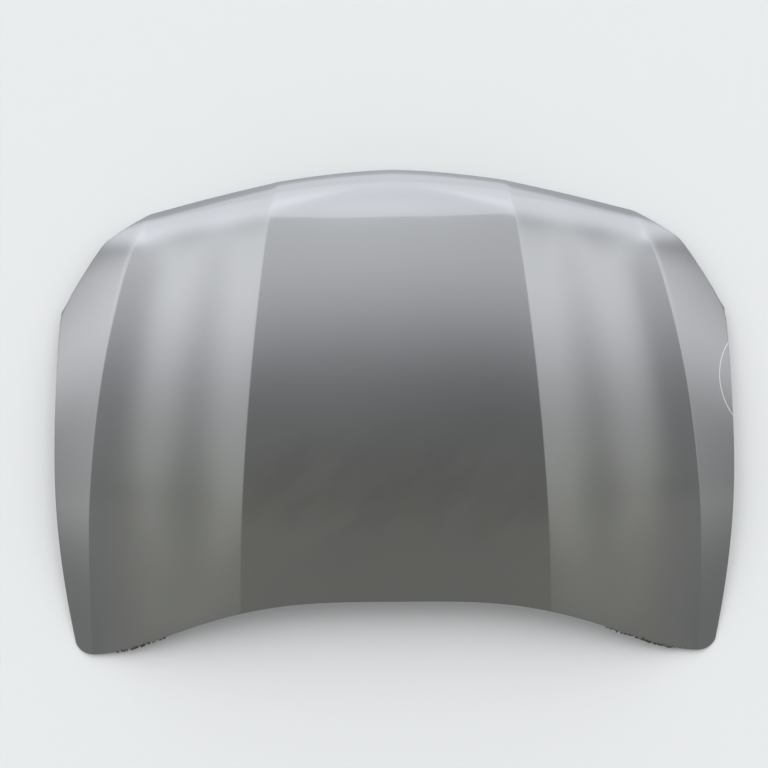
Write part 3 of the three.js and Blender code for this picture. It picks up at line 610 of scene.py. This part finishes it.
# %% Mesh of the skin
FOLD_RADIUS = HEM / 2
outside = [(0.0085, 0.0), (0.0045, 0.0)]
outside += [(FOLD_RADIUS * (1 - math.sin(a)), FOLD_RADIUS * (1 - math.cos(a)))
            for a in np.linspace(0, math.pi, 9)]
flange = [(0.0050, HEM), (0.0085, HEM), (0.0114, HEM), (0.0119, HEM - 0.0003)]
flange += [(0.0119, SLOT + 0.0002), (0.0115, SLOT)]
inside = [(0.0060, SLOT), (0.0022, SLOT), (0.0015, SLOT - 0.0004), (0.0015, SKIN + 0.0004), (0.0022, SKIN)]


def border(numbers):
    """Indices round the edge of a grid, anticlockwise from its rear left corner."""
    return np.concatenate([numbers[0, :-1], numbers[:-1, -1], numbers[-1, :0:-1], numbers[:0:-1, 0]])


def plan_mesh(name, points, depths, faces):
    mesh = bpy.data.meshes.new(name)
    mesh.from_pydata([(x, y, 0.0) for x, y in points], [], faces)
    mesh.attributes.new("depth", "FLOAT", "POINT").data.foreach_set("value", depths)
    mesh.polygons.foreach_set("use_smooth", [True] * len(faces))
    return mesh


flat_points = grid.reshape(-1, 2)
outer_numbers = np.arange(len(flat_points)).reshape(rows + 1, columns + 1)
inner_numbers = outer_numbers + len(flat_points)
rings = [inset(rim, distance) for distance, _ in outside + flange + inside]
ring_depths = [d for _, d in outside + flange + inside]
points = np.concatenate([flat_points, flat_points, *rings])
depths = np.concatenate([np.zeros(len(flat_points)), np.full(len(flat_points), SKIN),
                         np.repeat(ring_depths, len(rim))])
ring_numbers = [2 * len(flat_points) + k * len(rim) + np.arange(len(rim)) for k in range(len(rings))]
around = [border(outer_numbers), *ring_numbers, border(inner_numbers)]

faces = []
a, b = outer_numbers[:-1, :-1].ravel(), outer_numbers[:-1, 1:].ravel()
c, d = outer_numbers[1:, 1:].ravel(), outer_numbers[1:, :-1].ravel()
faces += np.stack([a, b, c, d], 1).tolist()
faces += (np.stack([a, d, c, b], 1) + len(flat_points)).tolist()
for ring, following in zip(around, around[1:]):
    nxt, following_next = np.roll(ring, -1), np.roll(following, -1)
    faces += np.stack([ring, following, following_next, nxt], 1).tolist()

skin_plan = plan_mesh("skin_plan", points, depths, faces)
print("skin:", len(points), "points,", len(faces), "faces")

# %% [markdown]
# ## Finishes as node materials
#
# A finish is a Principled shader with formulas on a few of its sockets. What is the same all over the piece
# is a plain value on the socket. What varies is a formula of the point's place on the piece.

# %% Materials
def new_material(name):
    made = bpy.data.materials.new(name)
    made.use_nodes = True
    made.node_tree.nodes.clear()
    return made, Net(made.node_tree)


def finish_material(net, fixed, varied):
    node = net.node("ShaderNodeBsdfPrincipled", None, {**fixed, **varied})
    net.node("ShaderNodeOutputMaterial", None, {"Surface": node["BSDF"]})
    return node


def noise(net, vector, scale, detail=2.0):
    return net.node("ShaderNodeTexNoise", None, {"Vector": vector, "Scale": scale, "Detail": detail})["Fac"]


def bump(net, strength, distance, height):
    values = {"Strength": strength, "Distance": distance, "Height": height}
    return net.node("ShaderNodeBump", None, values)["Normal"]


def grey(net, level, tint):
    """A colour of that level, tinted by three factors."""
    parts = {name: level * share for name, share in zip(("Red", "Green", "Blue"), tint)}
    return net.node("ShaderNodeCombineColor", None, parts)["Color"]


# %% [markdown]
# ## Paint of the skin
#
# The paint is a dark neutral grey with metal flakes under a clear coat. The base coat blurs what it mirrors,
# and the coat shows it sharp and faint. Five things vary over it. Flakes give a fine sparkle. The coat has
# the slight waviness of orange peel. A film of dust, which dulls the flakes and turns the grey a little
# olive, grows towards the rear and is thinner on the flanks. Over the lower middle the grey turns lighter
# and darker in slanting streaks. An arc of chalk runs off the right edge.

# %% Skin paint
PAINT_LEVEL = 0.165
CLEAN = (0.975, 1.0, 1.04)
DUSTY = (0.99, 1.01, 0.90)
DUST_FROM, DUST_LENGTH = 0.12, 0.42
# The slant of the lighter and darker streaks over the lower middle
STREAK_ANGLE = math.radians(38.0)
MARK_CENTRE, MARK_RADIUS, MARK_WIDTH = (0.836, 0.050), 0.129, 0.0010

paint, net = new_material("skin_paint")
coord = net.node("ShaderNodeTexCoord")["Object"]
px, py, pz = net.separate(coord)
flake = noise(net, coord, 1400.0)
cloud = noise(net, coord, 3.0, 3.0)
patch = noise(net, coord, 11.0, 4.0)

along = px * math.cos(STREAK_ANGLE) + py * math.sin(STREAK_ANGLE)
across_streak = py * math.cos(STREAK_ANGLE) - px * math.sin(STREAK_ANGLE)
streak = noise(net, net.combine(along * 4.0, across_streak * 13.0, patch * 1.6), 1.0, 4.0)
# Where the grey turns lighter and darker in slanting streaks: the lower middle
streaked_middle = ease((0.16 - size_of(py + 0.17)) / 0.12) * ease((0.34 - size_of(px)) / 0.10)
FLANK_FROM, FLANK_FADE = 0.52, 0.14
on_flank = ease((size_of(px) - FLANK_FROM) / FLANK_FADE)
dust = ease((DUST_FROM - py) / DUST_LENGTH) * (0.55 + 0.9 * patch) * (1.0 - 0.6 * on_flank)

level = PAINT_LEVEL * (0.84 + 0.32 * flake) * (0.95 + 0.10 * cloud) * (1.0 + (streak - 0.5) * streaked_middle * 0.42)
tone = net.mix_color(dust, grey(net, level, CLEAN), grey(net, level, DUSTY))
from_centre = net.math("SQRT", (px - MARK_CENTRE[0]) ** 2.0 + (py - MARK_CENTRE[1]) ** 2.0)
from_mark = size_of(from_centre - MARK_RADIUS)
mark = ease((MARK_WIDTH - from_mark) / 0.0006) * ease((pz - 0.02) / 0.005)
tone = net.mix_color(mark * 0.8, tone, (0.60, 0.61, 0.62, 1.0))

peel = bump(net, 0.05, 0.0004, noise(net, coord, 320.0))
finish_material(
    net,
    {"Coat Roughness": 0.035, "Coat IOR": 1.5},
    {"Base Color": tone, "Metallic": 0.86 * (1.0 - mark) - 0.05 * dust, "Coat Weight": 1.0 - 0.25 * dust,
     "Roughness": 0.27 + 0.09 * flake + 0.03 * dust, "Normal": peel})

# %% [markdown]
# ## The skin itself
#
# The press tree runs on the plan, and the finished sheet takes the place of the plain one in the frame file.

# %% Skin
skin = apply_tree("skin_panel", skin_plan, press, {"Material": paint, **SIZES})
heights = np.array([v.co.z for v in skin.data.vertices])
print("skin lies from", round(heights.min(), 5), "to", round(heights.max(), 5))
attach(skin, "root")
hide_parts("outer_skin")

# %% [markdown]
# ## What is under the skin
#
# The stamped frame and its plates keep their solids from the frame file, and get finishes of their own. The
# frame has a thin satin coat of the body colour, which the spray reaches unevenly, with road dust on it.

# %% Frame paint
frame_paint, net = new_material("frame_paint")
coord = net.node("ShaderNodeTexCoord")["Object"]
spray, dusty, fine = noise(net, coord, 14.0, 3.0), noise(net, coord, 38.0, 5.0), noise(net, coord, 1200.0)
film = ease((dusty - 0.52) / 0.16) * 0.45
body_colour = grey(net, 0.105 * (0.75 + 0.5 * spray) * (0.92 + 0.16 * fine), (0.98, 1.0, 1.01))
tone = net.mix_color(film, body_colour, (0.16, 0.15, 0.13, 1.0))
finish_material(
    net,
    {"Coat Roughness": 0.2},
    {"Base Color": tone, "Metallic": 0.7 * (1.0 - film), "Coat Weight": 0.35 * (1.0 - film),
     "Roughness": 0.34 + 0.22 * spray + 0.3 * film,
     "Normal": bump(net, 0.08, 0.0005, noise(net, coord, 500.0))})

# %% [markdown]
# The reinforcement plates are bare rolled steel with a dull stain. The nuts and the striker are zinc plated,
# with a faint yellow passivation that has bloomed in places.

# %% Plate steel and zinc
plate_steel, net = new_material("plate_steel")
coord = net.node("ShaderNodeTexCoord")["Object"]
stain, fine = noise(net, coord, 30.0, 4.0), noise(net, coord, 900.0)
tone = net.mix_color(stain, (0.20, 0.205, 0.205, 1.0), (0.31, 0.315, 0.31, 1.0))
finish_material(net, {"Metallic": 0.8}, {"Base Color": tone, "Roughness": 0.42 + 0.18 * stain + 0.08 * fine})

zinc_steel, net = new_material("zinc_steel")
coord = net.node("ShaderNodeTexCoord")["Object"]
bloom, spangle = noise(net, coord, 90.0, 4.0), noise(net, coord, 700.0)
tone = net.mix_color(bloom, (0.50, 0.47, 0.34, 1.0), (0.46, 0.46, 0.41, 1.0))
finish_material(
    net,
    {"Metallic": 0.95},
    {"Base Color": tone, "Roughness": 0.30 + 0.22 * bloom, "Normal": bump(net, 0.15, 0.0003, spangle)})

# %% [markdown]
# The buffers are moulded black rubber with a grey bloom. The pads between frame and skin are mastic, laid on
# as a soft paste and cured matt and lumpy.

# %% Rubber and mastic
rubber, net = new_material("buffer_rubber")
coord = net.node("ShaderNodeTexCoord")["Object"]
bloom, fine = noise(net, coord, 120.0, 4.0), noise(net, coord, 1500.0)
tone = net.mix_color(ease((bloom - 0.5) / 0.2), (0.011, 0.011, 0.012, 1.0), (0.024, 0.023, 0.022, 1.0))
finish_material(
    net,
    {"Specular IOR Level": 0.4},
    {"Base Color": tone, "Roughness": 0.62 + 0.2 * bloom, "Normal": bump(net, 0.12, 0.0003, fine)})

mastic, net = new_material("mastic")
coord = net.node("ShaderNodeTexCoord")["Object"]
lump = noise(net, coord, 160.0, 3.0)
tone = net.mix_color(lump, (0.27, 0.26, 0.235, 1.0), (0.39, 0.38, 0.345, 1.0))
finish_material(
    net, {}, {"Base Color": tone, "Roughness": 0.78 + 0.12 * lump, "Normal": bump(net, 0.5, 0.0012, lump)})

# %% [markdown]
# Each carried piece gets the finish that one word in its name asks for.

# %% Finishes on the carried pieces
FINISHES = {"inner_frame": frame_paint, "reinforcement": plate_steel, "striker": zinc_steel, "nut": zinc_steel,
            "buffer": rubber, "mastic": mastic}
finished = []
for name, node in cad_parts.items():
    for word, finish in FINISHES.items():
        if word in name:
            node.data.materials.clear()
            node.data.materials.append(finish)
            finished.append(name)
print("finishes given to", len(finished), "carried nodes")

# %% [markdown]
# ## Dirt under the rear edge
#
# Wet leaves and road dirt have dried under the rear edge near both corners, and dark crumbs of it show past
# the hem. Each crumb is a small ball that is turned and sized at random and then made ragged, so one short
# tree makes them all.

# %% Edge crumbs
crumb_tree = new_group(
    "edge_crumbs",
    [("Geometry", "NodeSocketGeometry", None), ("Material", "NodeSocketMaterial", None),
     ("Crumb size", "NodeSocketFloat", 0.0030), ("Raggedness", "NodeSocketFloat", 0.0035),
     ("Seed", "NodeSocketInt", 4)],
    [("Geometry", "NodeSocketGeometry")])
given = crumb_tree.node("NodeGroupInput")
ball_sizes = {"Radius": given["Crumb size"], "Subdivisions": 3}
ball = crumb_tree.node("GeometryNodeMeshIcoSphere", None, ball_sizes)["Mesh"]
turn = crumb_tree.node("FunctionNodeRandomValue", {"data_type": "FLOAT_VECTOR"},
                       {"Min": (0, 0, 0), "Max": (6.28, 6.28, 6.28), "Seed": given["Seed"]})["Value"]
girth = crumb_tree.node("FunctionNodeRandomValue", {"data_type": "FLOAT_VECTOR"},
                        {"Min": (0.5, 0.35, 0.3), "Max": (1.5, 0.9, 0.6), "Seed": given["Seed"]})["Value"]
placed = crumb_tree.node("GeometryNodeInstanceOnPoints", None,
                         {"Points": given["Geometry"], "Instance": ball, "Rotation": turn, "Scale": girth})
whole = crumb_tree.node("GeometryNodeRealizeInstances", None, {"Geometry": placed["Instances"]})
spot = crumb_tree.node("GeometryNodeInputPosition")["Position"]
ragged = crumb_tree.node("ShaderNodeTexNoise", None, {"Vector": spot, "Scale": 420.0, "Detail": 3.0})["Color"]
shift = crumb_tree.scaled(crumb_tree.vector("SUBTRACT", ragged, (0.5, 0.5, 0.5)), given["Raggedness"])
rough_ball = crumb_tree.node("GeometryNodeSetPosition", None, {"Geometry": whole["Geometry"], "Offset": shift})
dressed = crumb_tree.node("GeometryNodeSetMaterial", None,
                          {"Geometry": rough_ball["Geometry"], "Material": given["Material"]})
crumb_tree.node("NodeGroupOutput", None, {"Geometry": dressed["Geometry"]})

print("crumb tree:", len(crumb_tree.tree.nodes), "nodes")

# %% [markdown]
# The dirt is matt and nearly black, with paler brown where it has dried through.

# %% Dried dirt
dirt, net = new_material("dried_dirt")
coord = net.node("ShaderNodeTexCoord")["Object"]
clod = noise(net, coord, 300.0, 4.0)
tone = net.mix_color(clod, (0.012, 0.010, 0.008, 1.0), (0.085, 0.070, 0.050, 1.0))
finish_material(net, {"Specular IOR Level": 0.2}, {"Base Color": tone, "Roughness": 0.85 + 0.1 * clod})

# %% [markdown]
# Half of the crumbs at each corner lie anywhere along the stretch, and half gather round its middle. They
# stick to the underside of the hem and stay clear of the ground.

# %% Crumbs along the rear edge
LEFT_DIRT, RIGHT_DIRT = (-0.612, -0.480), (0.440, 0.628)
LEFT_COUNT, RIGHT_COUNT = 70, 120
CRUMB_LOWEST = 0.0066
CRUMB_REARMOST = 0.0078 - SIZES["Half length"]

chance = np.random.default_rng(12)
spots = []
for (low, high), count in ((LEFT_DIRT, LEFT_COUNT), (RIGHT_DIRT, RIGHT_COUNT)):
    crumb_x = np.concatenate([chance.uniform(low, high, count // 2),
                              chance.normal((low + high) / 2, (high - low) / 7, count - count // 2)])
    crumb_y = rear_edge_y(np.abs(crumb_x), SIZES) + chance.uniform(-0.0012, 0.0030, count)
    crumb_y = np.maximum(crumb_y, CRUMB_REARMOST)
    crumb_z = skin_height(crumb_x, crumb_y + 0.003, SIZES) - HEM - chance.uniform(-0.0012, 0.0016, count)
    spots.append(np.stack([crumb_x, crumb_y, np.maximum(crumb_z, CRUMB_LOWEST)], 1))
spots = np.concatenate(spots)
crumb_points = bpy.data.meshes.new("crumb_points")
crumb_points.from_pydata(spots.tolist(), [], [])
crumb_sizes = {"Material": dirt, "Crumb size": 0.0030, "Seed": 4}
crumbs = apply_tree("edge_crumbs", crumb_points, crumb_tree, crumb_sizes)
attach(crumbs, "root")
print("crumbs:", len(spots), "with", len(crumbs.data.polygons), "faces")

# %% [markdown]
# ## Light
#
# Metallic paint shows its surroundings, so the light is one large soft surround and no lamp. Its level is a
# sum of three forms. One follows how far ahead of the panel a direction points, dim overhead and bright
# towards the nose side. One follows how far aside it points, with a bright wall to each side. The last is a
# bright panel beyond the nose with a sharp, bowed lower edge, which the clear coat draws as a line. The two
# curves are given as pairs of an angle in degrees and a level.

# %% Light curves
AHEAD = [(-90, 1.1), (-70, 0.9), (-50, 0.22), (-25, 0.46), (-15, 0.41), (-10, 0.03), (3, 0.0), (6, 0.06),
         (10, 0.35), (15, 0.95), (20, 1.58), (25, 2.06), (30, 2.10), (36, 1.78), (45, 1.2), (60, 0.4),
         (90, 0.35)]
ASIDE = [(-90, 0.9), (-70, 0.72), (-60, 0.87), (-52, 1.12), (-46, 1.36), (-40, 1.68), (-35, 1.80), (-30, 1.28),
         (-25, 0.41), (-20, 0.04), (-15, 0.12), (-8, 0.34), (0, 0.28), (8, 0.14), (15, 0.03), (20, 0.0),
         (25, 0.04), (30, 1.18), (35, 1.70), (40, 1.36), (46, 0.88), (52, 0.75), (60, 0.6), (70, 0.5),
         (90, 0.9)]
DAYLIGHT = (0.98, 0.99, 1.0, 1.0)

world = bpy.data.worlds.new("studio")
bpy.context.scene.world = world
world.use_nodes = True
world.node_tree.nodes.clear()
net = Net(world.node_tree)
dx, dy, dz = net.separate(net.node("ShaderNodeTexCoord")["Generated"])
degrees = 180.0 / math.pi
ahead = net.math("ARCTAN2", dy, largest(dz, 0.0)) * degrees
aside = net.math("ARCTAN2", dx, largest(dz, 0.0)) * degrees
print("light curves with", len(AHEAD), "and", len(ASIDE), "stops")

# %% [markdown]
# The side walls reach less far back the nearer they are to the middle, so the rear of the centre mirrors a
# dim roof while the flanks still catch some light. Near the horizon both walls fade into an even level.

# %% Side walls
HORIZON_LEVEL = 0.4
ROOF_SHARE = 0.12
ROOF_FROM, ROOF_LENGTH = -16.0, 20.0
WALL_REACH, CORNER_REACH = 9.0, 12.0
WALL_FROM, CORNER_FROM, ASIDE_FADE = 28.0, 36.0, 8.0

wall_part = WALL_REACH * ease((size_of(aside) - WALL_FROM) / ASIDE_FADE)
far_aside = wall_part + CORNER_REACH * ease((size_of(aside) - CORNER_FROM) / ASIDE_FADE)
reach_back = ROOF_SHARE + (1.0 - ROOF_SHARE) * ease((ahead - ROOF_FROM + far_aside) / ROOF_LENGTH)
low = 1.0 - ease((dz - 0.05) / 0.35)
from_aside = mix(net.ramp(aside, -90, 90, ASIDE) * reach_back, HORIZON_LEVEL, low)

# %% [markdown]
# The panel beyond the nose has a crisp edge where the middle of the nose mirrors it, and a soft one towards
# the corners. Its light is a little bluer than the rest.

# %% Nose panel
PANEL_LEVEL = 2.5
LOW_PANEL_LEVEL = 2.4
PANEL_EDGE = 0.597
PANEL_BOW = 2.0
PANEL_SHOULDER = 0.13
PANEL_SOFTNESS = 0.016
PANEL_BLUR = 0.17
PANEL_HALF_WIDTH = 0.78
PANEL_COLOUR = (0.955, 0.985, 1.02, 1.0)

bow = smallest(PANEL_BOW * dx * dx, PANEL_SHOULDER)
softness = PANEL_SOFTNESS + PANEL_BLUR * ease((size_of(dx) - 0.2) / 0.2)
in_panel = ease((dy - PANEL_EDGE - bow + 0.5 * (softness - PANEL_SOFTNESS)) / softness)
in_panel = in_panel * ease((PANEL_HALF_WIDTH - size_of(dx)) / 0.12)
from_panel = mix(PANEL_LEVEL, LOW_PANEL_LEVEL, low) * in_panel

# %% [markdown]
# The camera sees a plain pale backdrop in place of this surround. Mirror rays keep the real light, since dark
# metallic paint is drawn by what it mirrors.

# %% World
BACKDROP_LEVEL = 0.82

glow = net.ramp(ahead, -90, 90, AHEAD) + from_aside + from_panel
seen = net.node("ShaderNodeLightPath")["Is Camera Ray"]
light_colour = net.mix_color(in_panel, DAYLIGHT, PANEL_COLOUR)
sky = {"Color": light_colour, "Strength": mix(glow, BACKDROP_LEVEL, seen)}
shine = net.node("ShaderNodeBackground", None, sky)
net.node("ShaderNodeOutputWorld", None, {"Surface": shine["Background"]})
print("world:", len(world.node_tree.nodes), "nodes")

# %% [markdown]
# ## Floor
#
# A plain pale floor lies a hair under the rim, and keeps the soft shadow of the bonnet. It is clear from
# below, so that the underside can be looked at.

# %% Floor sheet
REACH = 60.0
UNDER = -0.0003
floor_mesh = bpy.data.meshes.new("floor")
corners = [(-REACH, -REACH, UNDER), (REACH, -REACH, UNDER), (REACH, REACH, UNDER), (-REACH, REACH, UNDER)]
floor_mesh.from_pydata(corners, [], [(0, 1, 2, 3)])
floor = bpy.data.objects.new("floor", floor_mesh)
bpy.context.scene.collection.objects.link(floor)

# %% [markdown]
# In mirror rays the floor has an even pale level, and the level of the nose panel ahead of the nose, as a
# smooth floor would mirror that panel. Far away it turns into the backdrop.

# %% Floor material
FLOOR_GREY = (0.60, 0.605, 0.605, 1.0)
MIRROR_LEVEL = 1.0
MIRROR_FROM, MIRROR_FADE = 0.62, 0.1
FADE_FROM, FADE_LENGTH = 1.7, 4.0

pale, net = new_material("floor_pale")
floor_finish = {"Roughness": 0.9, "Base Color": FLOOR_GREY}
surface = net.node("ShaderNodeBsdfPrincipled", None, floor_finish)["BSDF"]
floor_x, floor_y, _ = net.separate(net.node("ShaderNodeTexCoord")["Object"])
rays = net.node("ShaderNodeLightPath")


def replaced_by_glow(under, factor, colour, level):
    """The surface under it, with an even glow in its place where the factor is 1."""
    glowing = net.node("ShaderNodeEmission", None, {"Color": colour, "Strength": level})["Emission"]
    return net.node("ShaderNodeMixShader", None, {"Fac": factor, 1: under, 2: glowing})["Shader"]


mirrored_level = mix(MIRROR_LEVEL, LOW_PANEL_LEVEL, ease((floor_y - MIRROR_FROM) / MIRROR_FADE))
by_gloss = largest(rays["Is Glossy Ray"], rays["Is Transmission Ray"])
surface = replaced_by_glow(surface, by_gloss, PANEL_COLOUR, mirrored_level)
away = ease((net.math("SQRT", floor_x ** 2.0 + floor_y ** 2.0) - FADE_FROM) / FADE_LENGTH)
surface = replaced_by_glow(surface, away * rays["Is Camera Ray"], DAYLIGHT, BACKDROP_LEVEL)
clear = net.node("ShaderNodeBsdfTransparent")["BSDF"]
from_below = net.node("ShaderNodeNewGeometry")["Backfacing"]
sides = net.node("ShaderNodeMixShader", None, {"Fac": from_below, 1: surface, 2: clear})
net.node("ShaderNodeOutputMaterial", None, {"Surface": sides["Shader"]})
floor_mesh.materials.append(pale)
